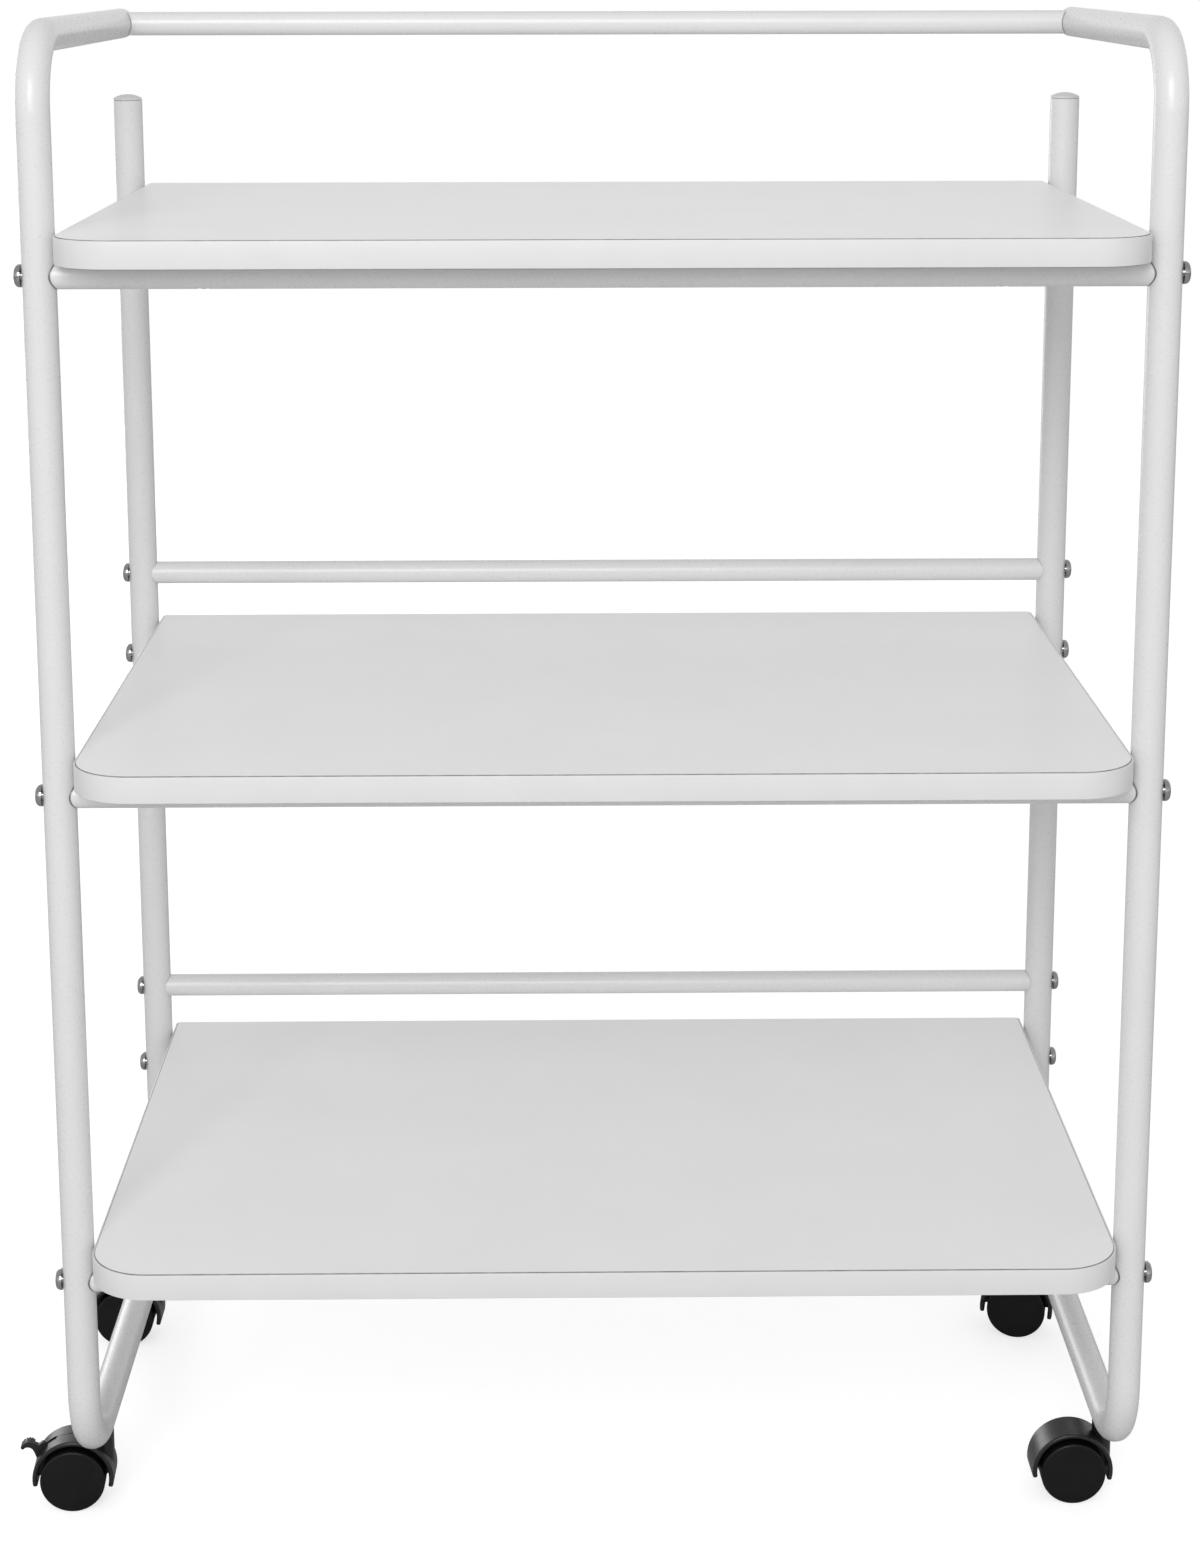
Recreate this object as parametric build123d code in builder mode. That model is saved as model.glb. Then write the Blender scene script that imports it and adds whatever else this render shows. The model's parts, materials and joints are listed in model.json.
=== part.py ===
"""A three-shelf mobile printer stand.

Two side frames, each bent from one tube, are joined by nine crossbars. Three edge-banded boards lie on six
of the crossbars, two crossbars are guard rails at the back, and one joins the ends of the handle tubes. The
stand rolls on four twin-wheel casters, two of which have a brake lever.

Millimetres, +X to the right, +Y to the back, +Z up. The origin is on the floor, under the middle of the
bounding box. The casters trail to the left, so the stand's own middle plane lies a little to the right of
the origin.
"""

import os

from build123d import *

# Boards
BOARD_WIDTH = 600.0
BOARD_DEPTH = 400.0
BOARD_THICKNESS = 16.0
BAND_THICKNESS = 1.0
BAND_EDGE_ROUNDING = 0.5
FRONT_CORNER_RADIUS = 35.0
REAR_CORNER_RADIUS = 3.0
SHELF_TOPS = {"bottom": 202.0, "middle": 499.0, "top": 796.0}

# Side frames
TUBE_RADIUS = 9.5
TUBE_WALL = 1.2
BOARD_TO_POST_GAP = 1.0
FRONT_OVERHANG = 45.0
REAR_OVERHANG = 15.0
POST_X = BOARD_WIDTH / 2 + BOARD_TO_POST_GAP + TUBE_RADIUS
FRONT_POST_Y = FRONT_OVERHANG - BOARD_DEPTH / 2
REAR_POST_Y = BOARD_DEPTH / 2 - REAR_OVERHANG
BOTTOM_TUBE_Z = 61.0
HANDLE_TUBE_Z = 902.0
REAR_POST_TOP_Z = 851.5
HANDLE_END_Y = 165.0
BOTTOM_BEND_RADIUS = 45.0
HANDLE_BEND_RADIUS = 40.0
SIDES = {"left": -1, "right": 1}

# Crossbars
CROSSBAR_RADIUS = 7.5
CROSSBAR_WALL = 1.2
COPE_GAP = 0.35
GUARD_RAIL_ABOVE_BOARD = 33.0
HANDLE_CROSSBAR_Y = 155.0
END_PLUG_LENGTH = 18.0

# Screws through the posts into the crossbars' end plugs
FRAME_SCREW_RADIUS = 3.0
FRAME_SCREW_LENGTH = 31.0
FRAME_SCREW_HOLE_RADIUS = 3.25
FRAME_SCREW_HEAD_RADIUS = 6.4
FRAME_SCREW_HEAD_HEIGHT = 3.7
FRAME_SCREW_HEAD_ROUNDING = 2.7
FRAME_SCREW_HEAD_GAP = 0.3
HEX_SOCKET_RADIUS = 2.3
HEX_SOCKET_DEPTH = 2.2

# Screws up through the crossbars into the boards, their heads sunk level with the crossbars' undersides
SHELF_SCREW_X = 220.0
SHELF_SCREW_RADIUS = 2.0
SHELF_SCREW_BITE = 11.0
SHELF_SCREW_HEAD_RADIUS = 3.6
SHELF_SCREW_HEAD_HEIGHT = 1.6
SHELF_SCREW_CROWN_HEIGHT = 0.9
SHELF_SCREW_SLOT = (3.6, 0.8)
SHELF_SCREW_SLOT_DEPTH = 1.3

# Plastic caps in the open ends of the frame tubes
CAP_PLUG_LENGTH = 6.5
CAP_SEAT_GAP = 0.4
CAP_RIM = 1.4
CAP_HEIGHT = 4.0

# Casters, each drawn with its stem on the Z axis and its wheels trailing towards +X
CASTER_INSET = 63.0
CASTER_HEADINGS = {"front_left": 183.0, "front_right": 180.0, "rear_left": 180.0, "rear_right": 168.0}
BRAKED_CASTERS = ("front_left", "rear_right")
TRAIL = 19.0
WHEEL_RADIUS = 20.0
WHEEL_INNER_FACE = 3.5
WHEEL_OUTER_FACE = 15.0
WHEEL_EDGE_RADIUS = 1.4
WHEEL_HUB_RADIUS = 6.0
WHEEL_RIM_THICKNESS = 3.2
WHEEL_RECESS_DEPTH = 8.0
AXLE_RADIUS = 2.5
AXLE_HALF_LENGTH = 13.0
AXLE_RUNNING_GAP = 0.05
AXLE = (TRAIL, WHEEL_RADIUS)

HOOD_RADIUS = 25.0
HOOD_INNER_RADIUS = 22.0
HOOD_HALF_WIDTH = 12.0
HOOD_RIM_ROUNDING = 1.2
HOOD_TIP_ROUNDING = 1.2
HOOD_TIPS_BELOW_AXLE = 5.0
HOOD_TIPS_DIFFERENCE = 2.0
WEB_HALF_THICKNESS = 3.2
WEB_BELOW_AXLE = 1.0
WEB_HUB_RADIUS = 7.0
BOSS_RADIUS = 5.9
BOSS_ROUNDING = 0.8

TUBE_BOTTOM_Z = BOTTOM_TUBE_Z - TUBE_RADIUS
STEM_RADIUS = 4.0
STEM_RUNNING_GAP = 0.06
STEM_BOTTOM_Z = 38.8
STEM_TOP_Z = 63.0
STEM_CHAMFER = 0.8
COLLAR_RADIUS = 5.6
COLLAR_BOTTOM_Z = TUBE_BOTTOM_Z - 1.6
END_GAP = 0.3
BOSS_TOP_Z = COLLAR_BOTTOM_Z - END_GAP
SOCKET_NUT_RADIUS = 5.5
SOCKET_NUT_HEIGHT = 12.0

# Brake lever, drawn round the axle
LEVER_PIVOT = (12.3, 10.3)
LEVER_HUB_RADIUS = 3.2
LEVER_BLADE_HALF_WIDTH = 1.6
LEVER_PAD_HALF_WIDTH = 3.2
LEVER_CORNER_ROUNDING = 1.0
LEVER_GROOVES = 5
LEVER_GROOVE_RADIUS = 0.5
TRUNNION_RADIUS = 1.6
TRUNNION_HALF_LENGTH = 3.1
TRUNNION_RUNNING_GAP = 0.06
SLOT_HALF_WIDTH = 1.9
SLOT_INNER_RADIUS = 8.6
SLOT_LOW_ANGLE = 2.0
SLOT_HIGH_ANGLE = 65.0
PARTING_LINE_HALF_WIDTH = 0.3
PARTING_LINE_DEPTH = 0.5
PARTING_LINE_END = 110.0

# From the origin to the stand's own middle plane
MIDDLE_X = 19.0


def board_crossbar_places():
    """(name, Y, Z) of the axis of each crossbar that carries a board."""
    places = []
    for shelf, top in SHELF_TOPS.items():
        z = top - BOARD_THICKNESS - CROSSBAR_RADIUS
        places.append((f"{shelf}_front_crossbar", FRONT_POST_Y, z))
        places.append((f"{shelf}_rear_crossbar", REAR_POST_Y, z))
    return places


def rail_places():
    """(name, Y, Z) of the axis of both guard rails and of the handle's crossbar."""
    places = []
    for shelf in ("bottom", "middle"):
        places.append((f"{shelf}_guard_rail", REAR_POST_Y, SHELF_TOPS[shelf] + GUARD_RAIL_ABOVE_BOARD))
    places.append(("handle_crossbar", HANDLE_CROSSBAR_Y, HANDLE_TUBE_Z))
    return places


def caster_places():
    """(name, X, Y) of each caster's stem."""
    places = []
    for side, sign in SIDES.items():
        places.append((f"front_{side}", sign * POST_X, FRONT_POST_Y + CASTER_INSET))
        places.append((f"rear_{side}", sign * POST_X, REAR_POST_Y - CASTER_INSET))
    return places


def side_frame(sign):
    """Handle tube, front post, bottom tube and rear post, bent from a single length of tube."""
    with BuildPart() as frame:
        with BuildLine(Plane.YZ.offset(sign * POST_X)) as centre_line:
            handle_front = (FRONT_POST_Y + HANDLE_BEND_RADIUS, HANDLE_TUBE_Z)
            handle = Line((HANDLE_END_Y, HANDLE_TUBE_Z), handle_front)
            handle_bend = JernArc(handle @ 1, (-1, 0), HANDLE_BEND_RADIUS, 90)
            front_post = Line(handle_bend @ 1, (FRONT_POST_Y, BOTTOM_TUBE_Z + BOTTOM_BEND_RADIUS))
            front_bend = JernArc(front_post @ 1, (0, -1), BOTTOM_BEND_RADIUS, 90)
            bottom = Line(front_bend @ 1, (REAR_POST_Y - BOTTOM_BEND_RADIUS, BOTTOM_TUBE_Z))
            rear_bend = JernArc(bottom @ 1, (1, 0), BOTTOM_BEND_RADIUS, 90)
            Line(rear_bend @ 1, (REAR_POST_Y, REAR_POST_TOP_Z))
        handle_end = (sign * POST_X, HANDLE_END_Y, HANDLE_TUBE_Z)
        with BuildSketch(Plane(handle_end, x_dir=(1, 0, 0), z_dir=(0, -1, 0))):
            Circle(TUBE_RADIUS)
            Circle(TUBE_RADIUS - TUBE_WALL, mode=Mode.SUBTRACT)
        sweep(path=centre_line.line)
        # a hole through both walls for each frame screw
        for _, y, z in board_crossbar_places() + rail_places():
            with Locations(Location((sign * POST_X, y, z), (0, 90, 0))):
                Cylinder(FRAME_SCREW_HOLE_RADIUS, 3 * TUBE_RADIUS, mode=Mode.SUBTRACT)
        # a hole in the lower wall for each caster's socket nut
        for _, x, y in caster_places():
            with Locations((x, y, TUBE_BOTTOM_Z)):
                Cylinder(SOCKET_NUT_RADIUS, TUBE_RADIUS, mode=Mode.SUBTRACT)
    return frame.part


def cope(y, z):
    """Cuts both ends of what is being built at Y, Z to the round of the frame tubes, with a hairline gap."""
    along_tube = (90, 0, 0) if z == HANDLE_TUBE_Z else (0, 0, 0)
    ends = [Location((sign * POST_X, y, z), along_tube) for sign in SIDES.values()]
    with Locations(*ends):
        Cylinder(TUBE_RADIUS + COPE_GAP, 4 * TUBE_RADIUS, mode=Mode.SUBTRACT)


def crossbar(y, z, carries_board):
    """A tube across the stand. One that carries a board is countersunk for the board's two screws."""
    with BuildPart() as bar:
        with BuildSketch(Plane.YZ):
            with Locations((y, z)):
                Circle(CROSSBAR_RADIUS)
                Circle(CROSSBAR_RADIUS - CROSSBAR_WALL, mode=Mode.SUBTRACT)
        extrude(amount=POST_X, both=True)
        cope(y, z)
        if carries_board:
            upwards = (Align.CENTER, Align.CENTER, Align.MIN)
            downwards = (Align.CENTER, Align.CENTER, Align.MAX)
            with Locations(*shelf_screw_places(y, z)):
                Cylinder(SHELF_SCREW_RADIUS, 2 * CROSSBAR_RADIUS, align=upwards, mode=Mode.SUBTRACT)
                Cylinder(SHELF_SCREW_HEAD_RADIUS, CROSSBAR_RADIUS, align=downwards, mode=Mode.SUBTRACT)
                shelf_screw_cone(mode=Mode.SUBTRACT)
    return bar.part


def end_plugs():
    """The threaded steel plug inside each end of every crossbar."""
    with BuildPart() as plugs:
        for _, y, z in board_crossbar_places() + rail_places():
            with BuildPart() as pair:
                with BuildSketch(Plane.YZ):
                    with Locations((y, z)):
                        Circle(CROSSBAR_RADIUS - CROSSBAR_WALL)
                        Circle(FRAME_SCREW_RADIUS, mode=Mode.SUBTRACT)
                extrude(amount=POST_X, both=True)
                with Locations((0, y, z)):
                    Box(2 * (POST_X - TUBE_RADIUS - END_PLUG_LENGTH), 20, 20, mode=Mode.SUBTRACT)
                cope(y, z)
            add(pair.part)
    return plugs.part


def frame_screw():
    """A button-headed screw along Z, its head's underside at Z = 0 and its shank below."""
    with BuildPart() as screw:
        with BuildSketch(Plane.XY):
            Circle(FRAME_SCREW_HEAD_RADIUS)
        extrude(amount=FRAME_SCREW_HEAD_HEIGHT)
        fillet(screw.edges().group_by(Axis.Z)[-1], FRAME_SCREW_HEAD_ROUNDING)
        with BuildSketch(Plane.XY):
            Circle(FRAME_SCREW_RADIUS)
        extrude(amount=-FRAME_SCREW_LENGTH)
        with BuildSketch(Plane.XY.offset(FRAME_SCREW_HEAD_HEIGHT)):
            RegularPolygon(HEX_SOCKET_RADIUS, 6)
        extrude(amount=-HEX_SOCKET_DEPTH, mode=Mode.SUBTRACT)
    return screw.part


def frame_screws():
    """Both screws of every crossbar, their heads just clear of the outer sides of the frame tubes."""
    head_x = POST_X + TUBE_RADIUS + FRAME_SCREW_HEAD_GAP
    one_screw = frame_screw()
    with BuildPart() as screws:
        for _, y, z in board_crossbar_places() + rail_places():
            with Locations(*[Location((sign * head_x, y, z), (0, sign * 90, 0)) for sign in SIDES.values()]):
                add(one_screw)
    return screws.part


def shelf_screw_places(y, z):
    """Where the rims of both screws' heads lie in the crossbar at Y, Z."""
    rim_z = z - CROSSBAR_RADIUS + SHELF_SCREW_CROWN_HEIGHT
    return [(-SHELF_SCREW_X, y, rim_z), (SHELF_SCREW_X, y, rim_z)]


def shelf_screw_cone(mode):
    """The countersunk part of a shelf screw's head, or of its hole, narrowing upwards from its rim."""
    upwards = (Align.CENTER, Align.CENTER, Align.MIN)
    Cone(SHELF_SCREW_HEAD_RADIUS, SHELF_SCREW_RADIUS, SHELF_SCREW_HEAD_HEIGHT, align=upwards, mode=mode)


def shelf_screw():
    """A raised countersunk screw along Z, its head's rim at Z = 0 and its shank above."""
    shank_length = 2 * CROSSBAR_RADIUS - SHELF_SCREW_CROWN_HEIGHT + SHELF_SCREW_BITE
    crown = (0, -SHELF_SCREW_CROWN_HEIGHT)
    rim = (SHELF_SCREW_HEAD_RADIUS, 0)
    with BuildPart() as screw:
        with BuildSketch(Plane.XY):
            Circle(SHELF_SCREW_RADIUS)
        extrude(amount=shank_length)
        shelf_screw_cone(mode=Mode.ADD)
        with BuildSketch(Plane.XZ):
            with BuildLine():
                TangentArc(crown, rim, tangent=(1, 0))
                Polyline(rim, (0, 0), crown)
            make_face()
        revolve(axis=Axis.Z)
        with BuildSketch(Plane.XY.offset(-SHELF_SCREW_CROWN_HEIGHT)):
            Rectangle(*SHELF_SCREW_SLOT)
            Rectangle(*SHELF_SCREW_SLOT, rotation=90)
        extrude(amount=SHELF_SCREW_SLOT_DEPTH, mode=Mode.SUBTRACT)
    return screw.part


def shelf_screws():
    """Two screws up through every crossbar that carries a board."""
    one_screw = shelf_screw()
    with BuildPart() as screws:
        for _, y, z in board_crossbar_places():
            with Locations(*shelf_screw_places(y, z)):
                add(one_screw)
    return screws.part


def board_outline(inset):
    """The board's plan, well rounded in front and nearly square behind, drawn inset from its edge."""
    with BuildSketch() as outline:
        Rectangle(BOARD_WIDTH - 2 * inset, BOARD_DEPTH - 2 * inset)
        fillet(outline.vertices().group_by(Axis.Y)[0], FRONT_CORNER_RADIUS - inset)
        fillet(outline.vertices().group_by(Axis.Y)[-1], REAR_CORNER_RADIUS - inset)
    return outline.sketch


def shelf_board(top):
    """The laminated board inside its edge band, drilled from below for its four screws."""
    bottom = top - BOARD_THICKNESS
    with BuildPart() as board:
        with BuildSketch(Plane.XY.offset(bottom)):
            add(board_outline(BAND_THICKNESS))
        extrude(amount=BOARD_THICKNESS)
        for y in (FRONT_POST_Y, REAR_POST_Y):
            with Locations((-SHELF_SCREW_X, y, bottom), (SHELF_SCREW_X, y, bottom)):
                Cylinder(SHELF_SCREW_RADIUS, 2 * SHELF_SCREW_BITE, mode=Mode.SUBTRACT)
    return board.part


def edge_band(top):
    """The plastic band glued round a board's edge, its outer edges slightly rounded."""
    with BuildPart() as band:
        with BuildSketch(Plane.XY.offset(top - BOARD_THICKNESS)):
            add(board_outline(0))
            add(board_outline(BAND_THICKNESS), mode=Mode.SUBTRACT)
        extrude(amount=BOARD_THICKNESS)
        flat_faces = band.faces().filter_by(Axis.Z)
        outer_edges = [edge for face in flat_faces for edge in face.outer_wire().edges()]
        fillet(outer_edges, BAND_EDGE_ROUNDING)
    return band.part


def tube_cap(location):
    """A domed plastic cap: a rim as wide as the tube and just clear of it, and a plug that fills its end."""
    plug_height = CAP_PLUG_LENGTH + CAP_SEAT_GAP
    crown = (0, CAP_HEIGHT)
    rim_top = (TUBE_RADIUS, CAP_RIM)
    with BuildPart() as cap:
        with BuildSketch(Plane.XZ):
            with Locations((0, -CAP_PLUG_LENGTH)):
                Rectangle(TUBE_RADIUS - TUBE_WALL, plug_height, align=(Align.MIN, Align.MIN))
            with BuildLine():
                TangentArc(crown, rim_top, tangent=(1, 0))
                Polyline(rim_top, (TUBE_RADIUS, CAP_SEAT_GAP), (0, CAP_SEAT_GAP), crown)
            make_face()
        revolve(axis=Axis.Z)
    return cap.part.moved(location)


def caster_socket_nuts():
    """The threaded nut in the bottom tube above each caster."""
    with BuildPart() as nuts:
        with BuildSketch(Plane.XY.offset(TUBE_BOTTOM_Z)):
            with Locations(*[(x, y) for _, x, y in caster_places()]):
                Circle(SOCKET_NUT_RADIUS)
                Circle(STEM_RADIUS, mode=Mode.SUBTRACT)
        extrude(amount=SOCKET_NUT_HEIGHT)
    return nuts.part


def caster_stem():
    """The steel pin that the hood swivels on, with the collar that stops it against the tube."""
    with BuildPart() as stem:
        with BuildSketch(Plane.XY.offset(STEM_BOTTOM_Z)):
            Circle(STEM_RADIUS)
        extrude(amount=STEM_TOP_Z - STEM_BOTTOM_Z)
        chamfer(stem.edges().filter_by(GeomType.CIRCLE), STEM_CHAMFER)
        with BuildSketch(Plane.XY.offset(COLLAR_BOTTOM_Z)):
            Circle(COLLAR_RADIUS)
        extrude(amount=TUBE_BOTTOM_Z - COLLAR_BOTTOM_Z)
    return stem.part


def wheel_well(sign):
    """The round space for one wheel, on one side of the hood's web."""
    with BuildPart() as well:
        with BuildSketch(Plane.XZ.offset(sign * WEB_HALF_THICKNESS)):
            with Locations(AXLE):
                Circle(HOOD_INNER_RADIUS)
        extrude(amount=sign * HOOD_HALF_WIDTH)
    return well.part


def drum_slice(low_angle, high_angle, inner_radius, half_width):
    """A slice of the drum round its middle plane, between two angles above the horizontal at the axle."""
    with BuildPart() as drum_slice:
        with BuildSketch(Plane.XZ):
            with Locations(AXLE):
                Circle(HOOD_RADIUS + 1)
                Circle(inner_radius, mode=Mode.SUBTRACT)
                far = Vector(4 * HOOD_RADIUS, 0)
                low = far.rotate(Axis.Z, low_angle)
                high = far.rotate(Axis.Z, high_angle)
                Polygon((0, 0), low, high, align=None, mode=Mode.INTERSECT)
        extrude(amount=half_width, both=True)
    return drum_slice.part


def caster_hood(braked):
    """A drum over both wheels, a web between them that holds the axle, and a boss that turns on the stem."""
    left, right = TRAIL - HOOD_RADIUS, TRAIL + HOOD_RADIUS
    left_tip_z = WHEEL_RADIUS - HOOD_TIPS_BELOW_AXLE - HOOD_TIPS_DIFFERENCE / 2
    right_tip_z = left_tip_z + HOOD_TIPS_DIFFERENCE
    with BuildPart() as hood:
        with BuildSketch(Plane.XZ):
            with Locations(AXLE):
                Circle(HOOD_RADIUS)
        extrude(amount=HOOD_HALF_WIDTH, both=True)
        # the drum is open below, and reaches further down on the stem's side
        with BuildSketch(Plane.XZ):
            below = -HOOD_RADIUS
            Polygon((left, left_tip_z), (right, right_tip_z), (right, below), (left, below), align=None)
        extrude(amount=HOOD_HALF_WIDTH, both=True, mode=Mode.SUBTRACT)
        with BuildSketch(Plane.XY.offset(WHEEL_RADIUS)):
            Circle(BOSS_RADIUS)
        extrude(amount=BOSS_TOP_Z - WHEEL_RADIUS)
        fillet(hood.edges().group_by(Axis.Z)[-1], BOSS_ROUNDING)
        for sign in SIDES.values():
            add(wheel_well(sign), mode=Mode.SUBTRACT)
        # the web stops just under the axle, except close round it, and is bored for it
        with BuildSketch(Plane.XZ):
            with Locations(AXLE):
                Circle(HOOD_INNER_RADIUS)
            with Locations((TRAIL, WHEEL_RADIUS - WEB_BELOW_AXLE)):
                upper_half = (2 * HOOD_RADIUS, HOOD_RADIUS)
                Rectangle(*upper_half, align=(Align.CENTER, Align.MIN), mode=Mode.SUBTRACT)
            with Locations(AXLE):
                Circle(WEB_HUB_RADIUS, mode=Mode.SUBTRACT)
                Circle(AXLE_RADIUS)
        extrude(amount=WEB_HALF_THICKNESS, both=True, mode=Mode.SUBTRACT)
        with BuildSketch(Plane.XY.offset(BOSS_TOP_Z)):
            Circle(STEM_RADIUS + STEM_RUNNING_GAP)
        extrude(amount=STEM_BOTTOM_Z - END_GAP - BOSS_TOP_Z, mode=Mode.SUBTRACT)
        tip_edges = hood.edges().filter_by(Axis.Y).filter_by(lambda edge: edge.length > HOOD_HALF_WIDTH)
        fillet(tip_edges, HOOD_TIP_ROUNDING)
        rims = hood.edges().filter_by(lambda edge: is_arc(edge, HOOD_RADIUS))
        fillet(rims, HOOD_RIM_ROUNDING)
        if braked:
            # the lever's slot, and the parting line that runs on from it over the drum
            slot = drum_slice(SLOT_LOW_ANGLE, SLOT_HIGH_ANGLE, SLOT_INNER_RADIUS, SLOT_HALF_WIDTH)
            add(slot, mode=Mode.SUBTRACT)
            groove_radius = HOOD_RADIUS - PARTING_LINE_DEPTH
            line = drum_slice(SLOT_HIGH_ANGLE, PARTING_LINE_END, groove_radius, PARTING_LINE_HALF_WIDTH)
            add(line, mode=Mode.SUBTRACT)
            with BuildSketch(Plane.XZ):
                with Locations(AXLE):
                    with Locations(LEVER_PIVOT):
                        Circle(TRUNNION_RADIUS + TRUNNION_RUNNING_GAP)
            extrude(amount=WEB_HALF_THICKNESS, both=True, mode=Mode.SUBTRACT)
    return hood.part


def is_arc(edge, radius):
    """Whether an edge is part of a circle of this radius."""
    return edge.geom_type == GeomType.CIRCLE and abs(edge.radius - radius) < 0.01


def caster_axle():
    """The steel pin through the web, on which both wheels turn."""
    with BuildPart() as axle:
        with BuildSketch(Plane.XZ):
            with Locations(AXLE):
                Circle(AXLE_RADIUS)
        extrude(amount=AXLE_HALF_LENGTH, both=True)
    return axle.part


def caster_wheel(sign):
    """One wheel, plain outside and hollowed inside round its hub, whose blind bore runs on the axle."""
    width = WHEEL_OUTER_FACE - WHEEL_INNER_FACE
    bore_depth = AXLE_HALF_LENGTH + END_GAP - WHEEL_INNER_FACE
    recess_height = WHEEL_RADIUS - WHEEL_RIM_THICKNESS - WHEEL_HUB_RADIUS
    outwards = Plane((TRAIL, 0, WHEEL_RADIUS), x_dir=(0, sign, 0), z_dir=(sign, 0, 0))
    corner = (Align.MIN, Align.MIN)
    with BuildPart() as wheel:
        with BuildSketch(outwards) as section:
            with Locations((WHEEL_INNER_FACE, 0)):
                Rectangle(width, WHEEL_RADIUS, align=corner)
            fillet(section.vertices().group_by(Axis.Y)[-1], WHEEL_EDGE_RADIUS)
            with Locations((WHEEL_INNER_FACE, WHEEL_HUB_RADIUS)):
                Rectangle(WHEEL_RECESS_DEPTH, recess_height, align=corner, mode=Mode.SUBTRACT)
            with Locations((WHEEL_INNER_FACE, 0)):
                Rectangle(bore_depth, AXLE_RADIUS + AXLE_RUNNING_GAP, align=corner, mode=Mode.SUBTRACT)
        revolve(axis=Axis((TRAIL, 0, WHEEL_RADIUS), (0, 1, 0)))
    return wheel.part


def brake_lever():
    """A blade in the hood's slot that ends in a ribbed, arched pad, and turns on trunnions in the web."""
    with BuildPart() as lever:
        with BuildSketch(Plane.XZ):
            with Locations(AXLE):
                add(lever_blade_side())
        extrude(amount=LEVER_BLADE_HALF_WIDTH, both=True)
        with BuildSketch(Plane.XZ):
            with Locations(AXLE):
                add(lever_pad_side())
        extrude(amount=LEVER_PAD_HALF_WIDTH, both=True)
        with BuildSketch(Plane.XZ):
            with Locations(AXLE):
                with Locations(LEVER_PIVOT):
                    Circle(TRUNNION_RADIUS)
        extrude(amount=TRUNNION_HALF_LENGTH, both=True)
    return lever.part


def lever_blade_side():
    """The blade seen from the side: humped where it leaves the slot, then narrowing to the pad."""
    hump = (19.2, 20.4)
    saddle = (21.8, 18.5)
    underside = [(26.2, 17.2), (24.4, 13.6), (22.8, 9.2)]
    with BuildSketch() as side:
        Polygon((11.0, 13.0), hump, saddle, (25.5, 20.2), *underside, (13.0, 7.3), align=None)
        corners = side.vertices().filter_by_position(Axis.X, hump[0] - 1, underside[1][0] + 1)
        fillet(corners, LEVER_CORNER_ROUNDING)
        with Locations(LEVER_PIVOT):
            Circle(LEVER_HUB_RADIUS)
    return side.sketch


def lever_pad_side():
    """The brake pad seen from the side: arched, turned down at its tip, with grooves across its top."""
    with BuildSketch() as side:
        with BuildLine():
            top = ThreePointArc((23.8, 20.2), (28.2, 21.6), (32.0, 19.0))
            tip = ThreePointArc(top @ 1, (32.3, 17.4), (30.9, 16.8))
            underside = ThreePointArc(tip @ 1, (28.4, 18.0), (25.6, 16.9))
            Line(underside @ 1, top @ 0)
        make_face()
        groove_shares = [(number + 0.5) / LEVER_GROOVES for number in range(LEVER_GROOVES)]
        with Locations(*[top @ share for share in groove_shares]):
            Circle(LEVER_GROOVE_RADIUS, mode=Mode.SUBTRACT)
    return side.sketch


def save(name, part, location=Location((0, 0, 0))):
    """Writes one node's file, moved to its place and then from the stand's middle plane to the origin."""
    placed = part.moved(Location((MIDDLE_X, 0, 0)) * location)
    placed.label = name
    export_step(placed, f"parts/{name}.step")


os.makedirs("parts", exist_ok=True)

for side, sign in SIDES.items():
    save(f"{side}_side_frame", side_frame(sign))
    post_end = Location((sign * POST_X, REAR_POST_Y, REAR_POST_TOP_Z))
    save(f"{side}_post_cap", tube_cap(post_end))
    handle_end = Location((sign * POST_X, HANDLE_END_Y, HANDLE_TUBE_Z), (-90, 0, 0))
    save(f"{side}_handle_cap", tube_cap(handle_end))

for name, y, z in board_crossbar_places():
    save(name, crossbar(y, z, carries_board=True))
for name, y, z in rail_places():
    save(name, crossbar(y, z, carries_board=False))

save("crossbar_end_plugs", end_plugs())
save("frame_screws", frame_screws())
save("shelf_screws", shelf_screws())
save("caster_socket_nuts", caster_socket_nuts())

for shelf, top in SHELF_TOPS.items():
    save(f"{shelf}_shelf_board", shelf_board(top))
    save(f"{shelf}_shelf_edge_band", edge_band(top))

for name, x, y in caster_places():
    place = Location((x, y, 0), (0, 0, CASTER_HEADINGS[name]))
    save(f"{name}_caster_stem", caster_stem(), place)
    save(f"{name}_caster_hood", caster_hood(name in BRAKED_CASTERS), place)
    save(f"{name}_caster_axle", caster_axle(), place)
    save(f"{name}_caster_front_wheel", caster_wheel(1), place)
    save(f"{name}_caster_back_wheel", caster_wheel(-1), place)
    if name in BRAKED_CASTERS:
        save(f"{name}_brake_lever", brake_lever(), place)
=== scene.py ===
"""Looks, camera and studio for the mobile printer stand.

Most CAD nodes stay as they are and get a material. The boards and their edge bands are rebuilt with eased
edges, so that the seam between them shows. Metres, +X to the right, +Y to the back, +Z up.
"""

import json
from math import cos, pi, radians, sin

import bmesh
import bpy
from mathutils import Matrix, Vector


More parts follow.
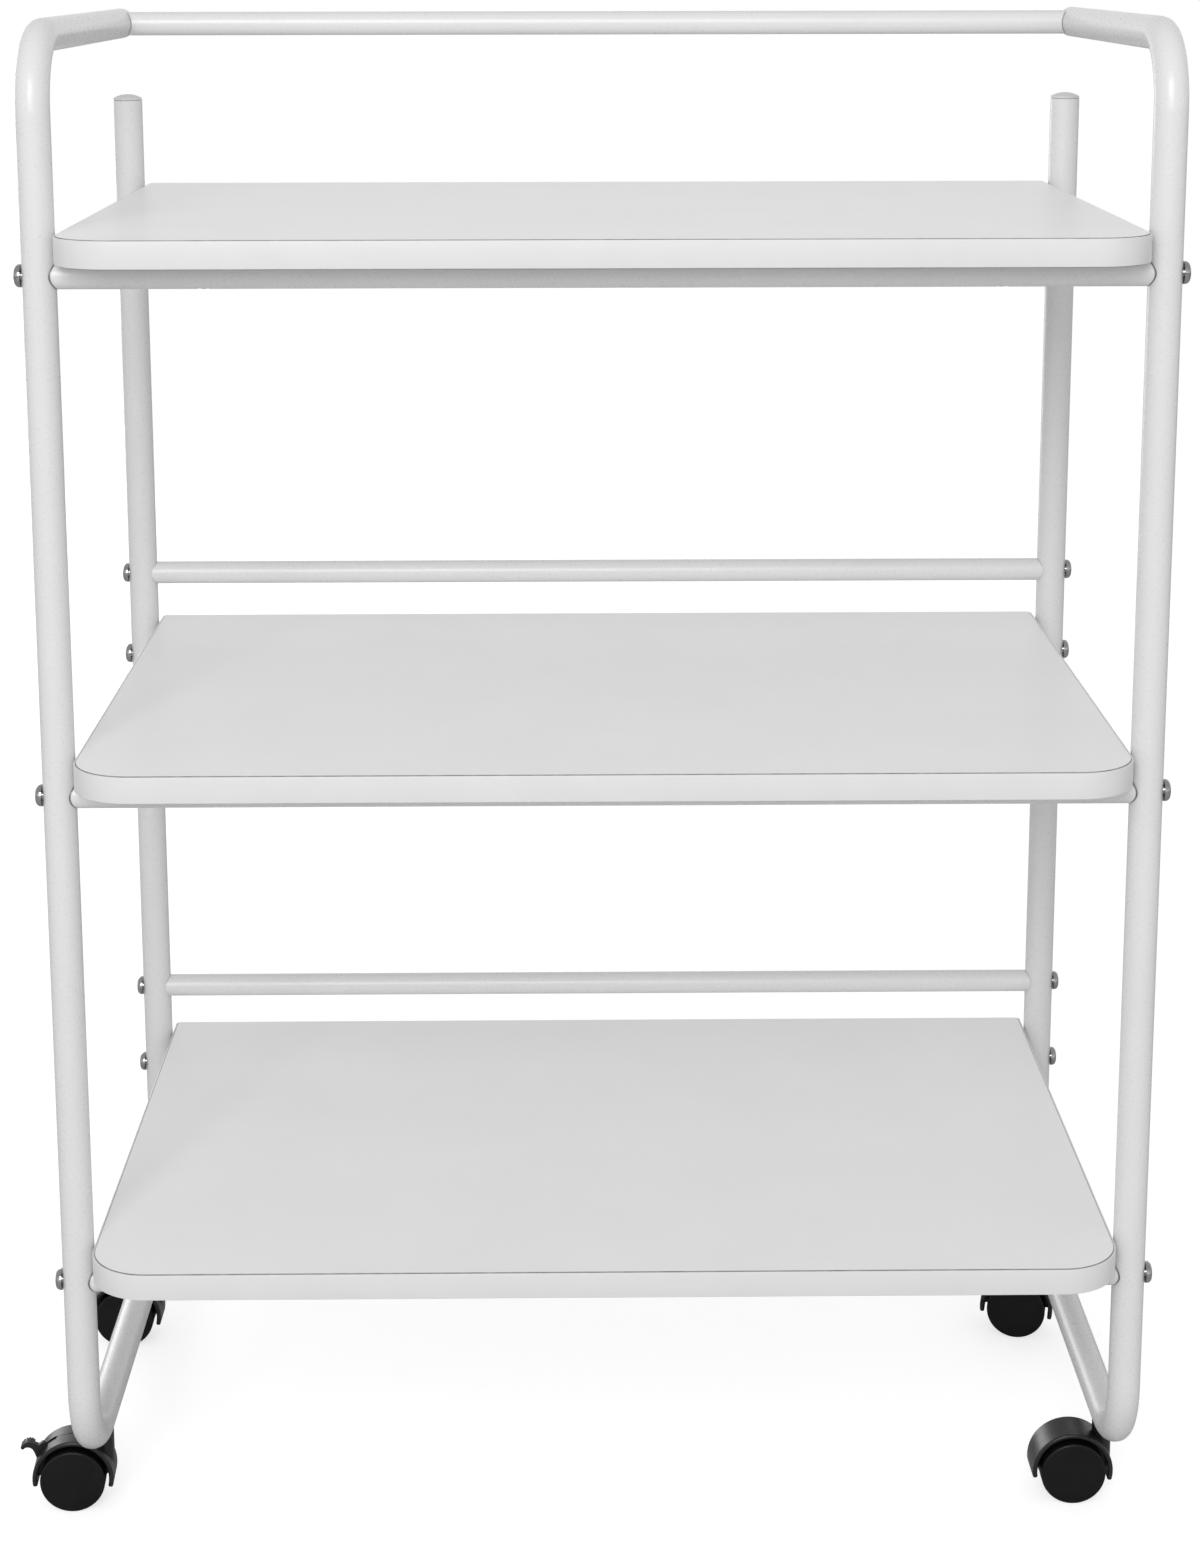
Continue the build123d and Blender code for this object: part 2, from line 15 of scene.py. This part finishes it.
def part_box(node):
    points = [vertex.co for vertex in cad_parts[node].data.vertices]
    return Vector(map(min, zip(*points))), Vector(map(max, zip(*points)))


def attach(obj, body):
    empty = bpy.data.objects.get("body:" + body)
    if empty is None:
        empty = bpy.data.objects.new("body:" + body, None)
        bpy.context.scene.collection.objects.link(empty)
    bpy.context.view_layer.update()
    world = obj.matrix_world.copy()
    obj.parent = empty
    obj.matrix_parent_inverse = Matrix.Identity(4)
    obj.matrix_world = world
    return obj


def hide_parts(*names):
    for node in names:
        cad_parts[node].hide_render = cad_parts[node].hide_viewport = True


# Camera, matched to the photograph: metres, radians, and a lens in millimetres. The photograph's verticals
# are nearly parallel, which the shift keeps in part.
CAMERA_PLACE = (0.0004, -1.7281, 0.9445)
CAMERA_TURN_LEFT = -0.0105
CAMERA_PITCH_DOWN = 0.1977
CAMERA_ROLL = -0.0017
CAMERA_LENS = 66.19
CAMERA_SHIFT_Y = -0.16

# The surround that lights the stand: its brightness straight up, its gain towards the horizon and its loss
# towards the sides, each with the power that says how fast it sets in
SURROUND_ZENITH = 0.52
SURROUND_HORIZON_GAIN = 0.68
SURROUND_HORIZON_POWER = 2.0
SURROUND_SIDE_LOSS = 0.35
SURROUND_SIDE_POWER = 4.0

# What the view meets behind the stand in place of that surround: plain white
BACKDROP = 1.02

# The floor, and its own glow, which the view meets but which doesn't light the stand from below
FLOOR_HALF_WIDTH = 60.0
FLOOR_GREY = (0.55, 0.55, 0.55)
FLOOR_GLOW = 0.66

# The two soft boxes, aimed at the middle of the stand: place, side of the square, and watts
STAND_MIDDLE = (0.0, 0.0, 0.5)
KEY_LIGHT = ((-0.5, -3.4, 2.3), 1.8, 68)
LIGHT_BEHIND = ((-1.7, 3.1, 0.5), 1.4, 18)

# Boards. The band is trimmed short of the board's faces, and both are eased where they meet.
BAND_THICKNESS = 0.001
FRONT_CORNER_RADIUS = 0.035
REAR_CORNER_RADIUS = 0.003
BAND_EDGE_ROUNDING = 0.0005
SEAM_EASE = 0.0005
BAND_TRIM = 0.00035
CORNER_STEPS = 16
ROUNDING_STEPS = 4

# The grey line at the ends of the crossbars under the boards, measured from the surface of the posts.
# It is painted shade where a bar meets a post, together with worn coat on the cut end.
SHADE_AND_WEAR_START = 0.0007
SHADE_AND_WEAR_END = 0.0013
SHADE_AND_WEAR_GREY = (0.10, 0.10, 0.10)

SHELVES = ("bottom", "middle", "top")

# A Mix node has a set of sockets for each kind of value. These are the ones for colours.
MIX_COLOUR_INPUTS = (6, 7)
MIX_COLOUR_OUTPUT = 2


def new_material(name, colour, roughness, metallic=0.0):
    """A Principled material, and its node tree, shader node and object coordinates to build on."""
    material = bpy.data.materials.new(name)
    material.use_nodes = True
    nodes = material.node_tree.nodes
    shader = nodes["Principled BSDF"]
    shader.inputs["Base Color"].default_value = (*colour, 1)
    shader.inputs["Roughness"].default_value = roughness
    shader.inputs["Metallic"].default_value = metallic
    coordinates = nodes.new("ShaderNodeTexCoord").outputs["Object"]
    return material, shader, coordinates


def noise(material, coordinates, scale, detail=2.0, roughness=0.5):
    """A noise texture's value, with features about 1 / scale metres apart."""
    node = material.node_tree.nodes.new("ShaderNodeTexNoise")
    node.inputs["Scale"].default_value = scale
    node.inputs["Detail"].default_value = detail
    node.inputs["Roughness"].default_value = roughness
    material.node_tree.links.new(coordinates, node.inputs["Vector"])
    return node.outputs["Fac"]


def stretched(material, coordinates, scale):
    """The coordinates scaled by a different amount along X, Y and Z."""
    node = material.node_tree.nodes.new("ShaderNodeMapping")
    node.inputs["Scale"].default_value = scale
    material.node_tree.links.new(coordinates, node.inputs["Vector"])
    return node.outputs["Vector"]


def spread(material, value, low, high):
    """Maps a noise value, which mostly lies between 0.3 and 0.7, onto low to high."""
    node = material.node_tree.nodes.new("ShaderNodeMapRange")
    node.inputs["From Min"].default_value = 0.3
    node.inputs["From Max"].default_value = 0.7
    node.inputs["To Min"].default_value = low
    node.inputs["To Max"].default_value = high
    material.node_tree.links.new(value, node.inputs["Value"])
    return node.outputs["Result"]


def seen_directly(node_tree):
    """1 where the view itself looks, and 0 for the light that falls on the stand."""
    return node_tree.nodes.new("ShaderNodeLightPath").outputs["Is Camera Ray"]


def calculate(node_tree, operation, *values):
    """One step of arithmetic on fixed numbers and sockets."""
    node = node_tree.nodes.new("ShaderNodeMath")
    node.operation = operation
    for socket, value in zip(node.inputs, values):
        if isinstance(value, bpy.types.NodeSocket):
            node_tree.links.new(value, socket)
        else:
            socket.default_value = value
    return node.outputs["Value"]


def blend_colours(material, share, first, second):
    """First where share is 0, second where it is 1. Either is a fixed colour or a socket."""
    node = material.node_tree.nodes.new("ShaderNodeMix")
    node.data_type = "RGBA"
    material.node_tree.links.new(share, node.inputs["Factor"])
    for input_index, colour in zip(MIX_COLOUR_INPUTS, (first, second)):
        socket = node.inputs[input_index]
        if isinstance(colour, bpy.types.NodeSocket):
            material.node_tree.links.new(colour, socket)
        else:
            socket.default_value = (*colour, 1)
    return node.outputs[MIX_COLOUR_OUTPUT]


def bump(material, height, depth, strength, below=None):
    """A bump from a height socket, laid over another bump if one is given."""
    node = material.node_tree.nodes.new("ShaderNodeBump")
    node.inputs["Distance"].default_value = depth
    node.inputs["Strength"].default_value = strength
    material.node_tree.links.new(height, node.inputs["Height"])
    if below is not None:
        material.node_tree.links.new(below, node.inputs["Normal"])
    return node.outputs["Normal"]


def white_powder_coat(name="white_powder_coat"):
    """Sprayed and baked powder: smooth and fairly glossy, with a fine orange peel."""
    material, shader, place = new_material(name, (0.74, 0.74, 0.738), 0.30)
    link = material.node_tree.links.new
    cloud = spread(material, noise(material, place, 9.0), 0.0, 1.0)
    link(blend_colours(material, cloud, (0.728,) * 3, (0.752,) * 3), shader.inputs["Base Color"])
    peel = noise(material, place, 650.0, detail=1.0)
    link(spread(material, peel, 0.26, 0.34), shader.inputs["Roughness"])
    dust = bump(material, noise(material, place, 2600.0), 0.00003, 0.14)
    link(bump(material, peel, 0.00007, 0.16, below=dust), shader.inputs["Normal"])
    return material


def crossbar_powder_coat():
    """The same coat on the crossbars, with a grey line along each cut end beside a post: painted shade of
    the joint, and worn coat.
    """
    material = white_powder_coat("crossbar_powder_coat")
    tree = material.node_tree
    left_low, left_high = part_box("left_side_frame")
    right_low, right_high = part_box("right_side_frame")
    tube_radius = (left_high.x - left_low.x) / 2
    middle = (left_low + right_high) / 2
    split = tree.nodes.new("ShaderNodeSeparateXYZ")
    tree.links.new(tree.nodes.new("ShaderNodeTexCoord").outputs["Object"], split.inputs["Vector"])

    def distance(axis, centre, reach):
        """How far a point is, along one axis, from the nearer of two posts, reach each side of centre."""
        from_centre = calculate(tree, "ABSOLUTE", calculate(tree, "SUBTRACT", split.outputs[axis], centre))
        return calculate(tree, "ABSOLUTE", calculate(tree, "SUBTRACT", from_centre, reach))

    across = distance("X", middle.x, right_high.x - tube_radius - middle.x)
    along = distance("Y", middle.y, left_high.y - tube_radius - middle.y)
    squares = calculate(tree, "MULTIPLY_ADD", across, across, calculate(tree, "MULTIPLY", along, along))
    from_axis = calculate(tree, "SQRT", squares)
    edge = tree.nodes.new("ShaderNodeMapRange")
    edge.inputs["From Min"].default_value = tube_radius + SHADE_AND_WEAR_START
    edge.inputs["From Max"].default_value = tube_radius + SHADE_AND_WEAR_END
    tree.links.new(from_axis, edge.inputs["Value"])
    shader = tree.nodes["Principled BSDF"]
    coat = shader.inputs["Base Color"].links[0].from_socket
    # The coat turns grey near the posts: painted shade in the joint, and worn coat on the cut end.
    shaded_and_worn_coat = blend_colours(material, edge.outputs["Result"], SHADE_AND_WEAR_GREY, coat)
    tree.links.new(shaded_and_worn_coat, shader.inputs["Base Color"])
    return material


def white_laminate():
    """Melamine paper pressed onto particle board: satin, with a fine pearl texture and a faint mottle."""
    material, shader, place = new_material("white_laminate", (0.88, 0.88, 0.88), 0.36)
    shader.inputs["Specular IOR Level"].default_value = 0.3
    link = material.node_tree.links.new
    mottle = spread(material, noise(material, place, 14.0, detail=4.0), 0.0, 1.0)
    link(blend_colours(material, mottle, (0.87,) * 3, (0.89,) * 3), shader.inputs["Base Color"])
    pearl = noise(material, place, 1100.0, detail=2.0)
    link(spread(material, pearl, 0.31, 0.41), shader.inputs["Roughness"])
    link(bump(material, pearl, 0.00008, 0.22), shader.inputs["Normal"])
    return material


def white_edge_band():
    """Extruded plastic edging: a little glossier and lighter than the laminate beside it."""
    material, shader, place = new_material("white_edge_band", (0.73, 0.73, 0.73), 0.36)
    link = material.node_tree.links.new
    cloud = spread(material, noise(material, place, 30.0), 0.0, 1.0)
    link(blend_colours(material, cloud, (0.725,) * 3, (0.745,) * 3), shader.inputs["Base Color"])
    grain = noise(material, place, 1500.0)
    link(spread(material, grain, 0.32, 0.42), shader.inputs["Roughness"])
    link(bump(material, grain, 0.00005, 0.2), shader.inputs["Normal"])
    return material


def glue_and_shadow_seam():
    """The hairline between a board's face and its edge band: glue, darkened further with painted shadow.
    """
    material, shader, place = new_material("glue_and_shadow_seam", (0.25, 0.24, 0.23), 0.7)
    link = material.node_tree.links.new
    patches = spread(material, noise(material, place, 120.0, detail=3.0), 0.0, 1.0)
    patchy_colour = blend_colours(material, patches, (0.18, 0.17, 0.16), (0.32, 0.31, 0.30))
    link(patchy_colour, shader.inputs["Base Color"])
    return material


def grey_plastic():
    """The moulded caps in the tubes' ends, slightly greyer than the tubes."""
    material, shader, place = new_material("grey_plastic", (0.70, 0.70, 0.70), 0.4)
    link = material.node_tree.links.new
    cloud = spread(material, noise(material, place, 60.0), 0.0, 1.0)
    link(blend_colours(material, cloud, (0.68,) * 3, (0.72,) * 3), shader.inputs["Base Color"])
    grain = noise(material, place, 2200.0)
    link(spread(material, grain, 0.36, 0.48), shader.inputs["Roughness"])
    link(bump(material, grain, 0.00004, 0.3), shader.inputs["Normal"])
    return material


def bright_chrome():
    """Plated screw heads: mirror bright, with a faint haze and the last of the forging marks."""
    material, shader, place = new_material("bright_chrome", (0.42, 0.425, 0.435), 0.1, metallic=1.0)
    link = material.node_tree.links.new
    haze = noise(material, place, 420.0, detail=5.0, roughness=0.65)
    link(spread(material, haze, 0.05, 0.20), shader.inputs["Roughness"])
    link(bump(material, noise(material, place, 900.0), 0.00002, 0.25), shader.inputs["Normal"])
    return material


def zinc_steel():
    """Zinc-plated steel: dull silver with a patchy crystalline haze."""
    material, shader, place = new_material("zinc_steel", (0.56, 0.57, 0.58), 0.35, metallic=1.0)
    link = material.node_tree.links.new
    patches = spread(material, noise(material, place, 300.0, detail=4.0, roughness=0.7), 0.0, 1.0)
    patchy_colour = blend_colours(material, patches, (0.50, 0.51, 0.53), (0.62, 0.62, 0.61))
    link(patchy_colour, shader.inputs["Base Color"])
    link(spread(material, noise(material, place, 800.0), 0.25, 0.45), shader.inputs["Roughness"])
    link(bump(material, noise(material, place, 1600.0), 0.00002, 0.3), shader.inputs["Normal"])
    return material


def moulded_black(name, dark, light, roughness_low, roughness_high, gloss):
    """Black moulded plastic: a fine spark-eroded grain, and faint drag marks round the wheels' axis."""
    material, shader, place = new_material(name, dark, roughness_low)
    shader.inputs["Specular IOR Level"].default_value = gloss
    link = material.node_tree.links.new
    cloud = spread(material, noise(material, place, 70.0, detail=4.0), 0.0, 1.0)
    link(blend_colours(material, cloud, dark, light), shader.inputs["Base Color"])
    drag_marks = noise(material, stretched(material, place, (0.06, 1.0, 0.06)), 1300.0, detail=3.0)
    link(spread(material, drag_marks, roughness_low, roughness_high), shader.inputs["Roughness"])
    grain = bump(material, noise(material, place, 2400.0, detail=3.0), 0.00005, 0.3)
    link(bump(material, drag_marks, 0.00006, 0.3, below=grain), shader.inputs["Normal"])
    return material


def black_hood_plastic():
    """The hoods and brake levers: satin."""
    return moulded_black("black_hood_plastic", (0.006,) * 3, (0.010,) * 3, 0.26, 0.42, gloss=0.5)


def black_wheel_plastic():
    """The wheels: darker, and nearly matt."""
    return moulded_black("black_wheel_plastic", (0.003,) * 3, (0.005,) * 3, 0.32, 0.46, gloss=0.25)


def rounded_outline(low, high, inset):
    """A board's outline seen from above, well rounded at the front and barely at the back."""
    corners = (
        (low.x, low.y, FRONT_CORNER_RADIUS, pi),
        (high.x, low.y, FRONT_CORNER_RADIUS, 1.5 * pi),
        (high.x, high.y, REAR_CORNER_RADIUS, 0.0),
        (low.x, high.y, REAR_CORNER_RADIUS, 0.5 * pi),
    )
    middle = (low + high) / 2
    points = []
    for x, y, radius, start in corners:
        centre_x = x + radius if x < middle.x else x - radius
        centre_y = y + radius if y < middle.y else y - radius
        for step in range(CORNER_STEPS + 1):
            angle = start + step / CORNER_STEPS * pi / 2
            reach = radius - inset
            points.append((centre_x + reach * cos(angle), centre_y + reach * sin(angle)))
    return points


def loop_of_vertices(mesh, outline, z):
    """Adds one closed loop of vertices at height z."""
    return [mesh.verts.new((x, y, z)) for x, y in outline]


def bridge(mesh, lower, upper, material_index=0):
    """Joins two loops of as many vertices with a band of quads."""
    count = len(lower)
    for i in range(count):
        after = (i + 1) % count
        face = mesh.faces.new((lower[i], lower[after], upper[after], upper[i]))
        face.material_index = material_index


def finished_piece(name, mesh, materials, body, sharp_above=radians(30)):
    """Turns a bmesh into an object that rides on a body, finished with the materials given."""
    bmesh.ops.recalc_face_normals(mesh, faces=mesh.faces)
    data = bpy.data.meshes.new(name)
    mesh.to_mesh(data)
    mesh.free()
    for material in materials:
        data.materials.append(material)
    data.polygons.foreach_set("use_smooth", [True] * len(data.polygons))
    data.set_sharp_from_angle(angle=sharp_above)
    piece = bpy.data.objects.new(name, data)
    bpy.context.scene.collection.objects.link(piece)
    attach(piece, body)
    return piece


def build_board(shelf, laminate, seam):
    """The board inside its edge band, with its rims eased so that the seam catches a shadow. The eased
    rims also take the seam material, which paints more shadow there.
    """
    low, high = (Vector(corner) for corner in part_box(f"{shelf}_shelf_board"))
    outer_low = low - Vector((BAND_THICKNESS, BAND_THICKNESS, 0))
    outer_high = high + Vector((BAND_THICKNESS, BAND_THICKNESS, 0))
    side = rounded_outline(outer_low, outer_high, BAND_THICKNESS)
    face = rounded_outline(outer_low, outer_high, BAND_THICKNESS + SEAM_EASE)
    mesh = bmesh.new()
    bottom_face = loop_of_vertices(mesh, face, low.z)
    bottom_side = loop_of_vertices(mesh, side, low.z + SEAM_EASE)
    top_side = loop_of_vertices(mesh, side, high.z - SEAM_EASE)
    top_face = loop_of_vertices(mesh, face, high.z)
    # The eased rims take the seam material: a glue line, darkened with painted shadow.
    bridge(mesh, bottom_face, bottom_side, material_index=1)
    bridge(mesh, bottom_side, top_side)
    bridge(mesh, top_side, top_face, material_index=1)
    mesh.faces.new(top_face)
    mesh.faces.new(list(reversed(bottom_face)))
    board = finished_piece(f"{shelf}_board", mesh, (laminate, seam), "frame")
    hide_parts(f"{shelf}_shelf_board")


def build_edge_band(shelf, band_plastic):
    """The edge band: a closed strip with rounded outer edges, trimmed short of the board's faces."""
    low, high = (Vector(corner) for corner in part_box(f"{shelf}_shelf_edge_band"))
    bottom = low.z + BAND_TRIM
    section = [(BAND_THICKNESS, low.z + SEAM_EASE), (BAND_THICKNESS - SEAM_EASE, bottom)]
    for step in range(ROUNDING_STEPS + 1):
        angle = step / ROUNDING_STEPS * pi / 2
        inset = BAND_EDGE_ROUNDING * (1 - sin(angle))
        section.append((inset, bottom + BAND_EDGE_ROUNDING * (1 - cos(angle))))
    for inset, z in reversed(section[:]):
        section.append((inset, low.z + high.z - z))
    mesh = bmesh.new()
    loops = [loop_of_vertices(mesh, rounded_outline(low, high, inset), z) for inset, z in section]
    for lower, upper in zip(loops, loops[1:] + loops[:1]):
        bridge(mesh, lower, upper)
    band = finished_piece(f"{shelf}_edge_band", mesh, (band_plastic,), "frame")
    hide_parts(f"{shelf}_shelf_edge_band")


def area_light(name, place, size, power):
    """A square soft box aimed at the middle of the stand. The view doesn't see it."""
    light = bpy.data.lights.new(name, "AREA")
    light.shape = "SQUARE"
    light.size = size
    light.energy = power
    lamp = bpy.data.objects.new(name, light)
    lamp.location = place
    aim = Vector(STAND_MIDDLE) - Vector(place)
    lamp.rotation_euler = aim.to_track_quat("-Z", "Y").to_euler()
    lamp.visible_camera = False
    bpy.context.scene.collection.objects.link(lamp)


def build_surround():
    """A white surround, brightest round the horizon in front and behind, and darker at both sides."""
    world = bpy.data.worlds.new("surround")
    world.use_nodes = True
    tree = world.node_tree
    split = tree.nodes.new("ShaderNodeSeparateXYZ")
    tree.links.new(tree.nodes.new("ShaderNodeTexCoord").outputs["Generated"], split.inputs["Vector"])
    height = calculate(tree, "MAXIMUM", split.outputs["Z"], 0.0)
    lowness = calculate(tree, "POWER", calculate(tree, "SUBTRACT", 1.0, height), SURROUND_HORIZON_POWER)
    front_and_back = calculate(tree, "MULTIPLY_ADD", lowness, SURROUND_HORIZON_GAIN, SURROUND_ZENITH)
    sideness = calculate(tree, "ABSOLUTE", split.outputs["X"])
    sideways = calculate(tree, "POWER", sideness, SURROUND_SIDE_POWER)
    loss = calculate(tree, "MULTIPLY", sideways, SURROUND_SIDE_LOSS)
    lighting = calculate(tree, "MAXIMUM", calculate(tree, "SUBTRACT", front_and_back, loss), 0.0)
    backdrop_gain = calculate(tree, "SUBTRACT", BACKDROP, lighting)
    strength = calculate(tree, "MULTIPLY_ADD", seen_directly(tree), backdrop_gain, lighting)
    background = tree.nodes["Background"]
    background.inputs["Color"].default_value = (1, 1, 1, 1)
    tree.links.new(strength, background.inputs["Strength"])
    bpy.context.scene.world = world


def build_floor():
    """A wide pale floor that ends far off, at the horizon."""
    half = FLOOR_HALF_WIDTH
    corners = [(-half, -half, 0), (half, -half, 0), (half, half, 0), (-half, half, 0)]
    mesh = bmesh.new()
    mesh.faces.new([mesh.verts.new(corner) for corner in corners])
    data = bpy.data.meshes.new("floor")
    mesh.to_mesh(data)
    mesh.free()
    paint, shader, place = new_material("floor_paint", FLOOR_GREY, 0.9)
    tree = paint.node_tree
    tree.links.new(spread(paint, noise(paint, place, 40.0), 0.85, 0.95), shader.inputs["Roughness"])
    shader.inputs["Emission Color"].default_value = (1, 1, 1, 1)
    glow = calculate(tree, "MULTIPLY", seen_directly(tree), FLOOR_GLOW)
    tree.links.new(glow, shader.inputs["Emission Strength"])
    data.materials.append(paint)
    floor = bpy.data.objects.new("floor", data)
    bpy.context.scene.collection.objects.link(floor)


def build_studio():
    """The floor, the surround, a soft box in front, and a low one behind for highlights on the tubes."""
    bpy.context.scene.view_settings.view_transform = "Standard"
    build_surround()
    build_floor()
    area_light("key", *KEY_LIGHT)
    area_light("glow_behind", *LIGHT_BEHIND)


def build_camera():
    """A camera where the photograph was taken from."""
    data = bpy.data.cameras.new("camera")
    data.lens = CAMERA_LENS
    data.shift_y = CAMERA_SHIFT_Y
    camera = bpy.data.objects.new("camera", data)
    turn = Matrix.Rotation(CAMERA_TURN_LEFT, 4, "Z")
    tilt = Matrix.Rotation(pi / 2 - CAMERA_PITCH_DOWN, 4, "X")
    roll = Matrix.Rotation(CAMERA_ROLL, 4, "Z")
    camera.matrix_world = Matrix.Translation(CAMERA_PLACE) @ turn @ tilt @ roll
    bpy.context.scene.collection.objects.link(camera)
    bpy.context.scene.camera = camera


def dress_cad_nodes(frame, materials):
    """Gives every CAD node the material of its slot, and the crossbars under the boards their own."""
    crossbar_coat = crossbar_powder_coat()
    for part in frame["record"]["subparts"]:
        node = frame["nodes"][part["node"]]
        node.data.materials.clear()
        if part["node"].endswith(("front_crossbar", "rear_crossbar")):
            node.data.materials.append(crossbar_coat)
        else:
            node.data.materials.append(materials[part["material_slot"]])


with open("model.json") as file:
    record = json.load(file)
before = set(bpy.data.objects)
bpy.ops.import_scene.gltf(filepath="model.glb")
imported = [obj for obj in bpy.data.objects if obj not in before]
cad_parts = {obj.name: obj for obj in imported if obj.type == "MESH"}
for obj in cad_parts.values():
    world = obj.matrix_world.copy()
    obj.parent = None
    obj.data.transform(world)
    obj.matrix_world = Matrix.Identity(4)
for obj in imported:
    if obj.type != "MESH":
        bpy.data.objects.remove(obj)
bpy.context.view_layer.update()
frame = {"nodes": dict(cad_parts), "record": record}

slot_materials = {
    "white_powder_coat": white_powder_coat(),
    "white_laminate": white_laminate(),
    "white_edge_band": white_edge_band(),
    "grey_plastic": grey_plastic(),
    "bright_chrome": bright_chrome(),
    "zinc_steel": zinc_steel(),
    "black_hood_plastic": black_hood_plastic(),
    "black_wheel_plastic": black_wheel_plastic(),
}
dress_cad_nodes(frame, slot_materials)

seam_material = glue_and_shadow_seam()
for shelf in SHELVES:
    build_board(shelf, slot_materials["white_laminate"], seam_material)
    build_edge_band(shelf, slot_materials["white_edge_band"])

build_studio()
build_camera()
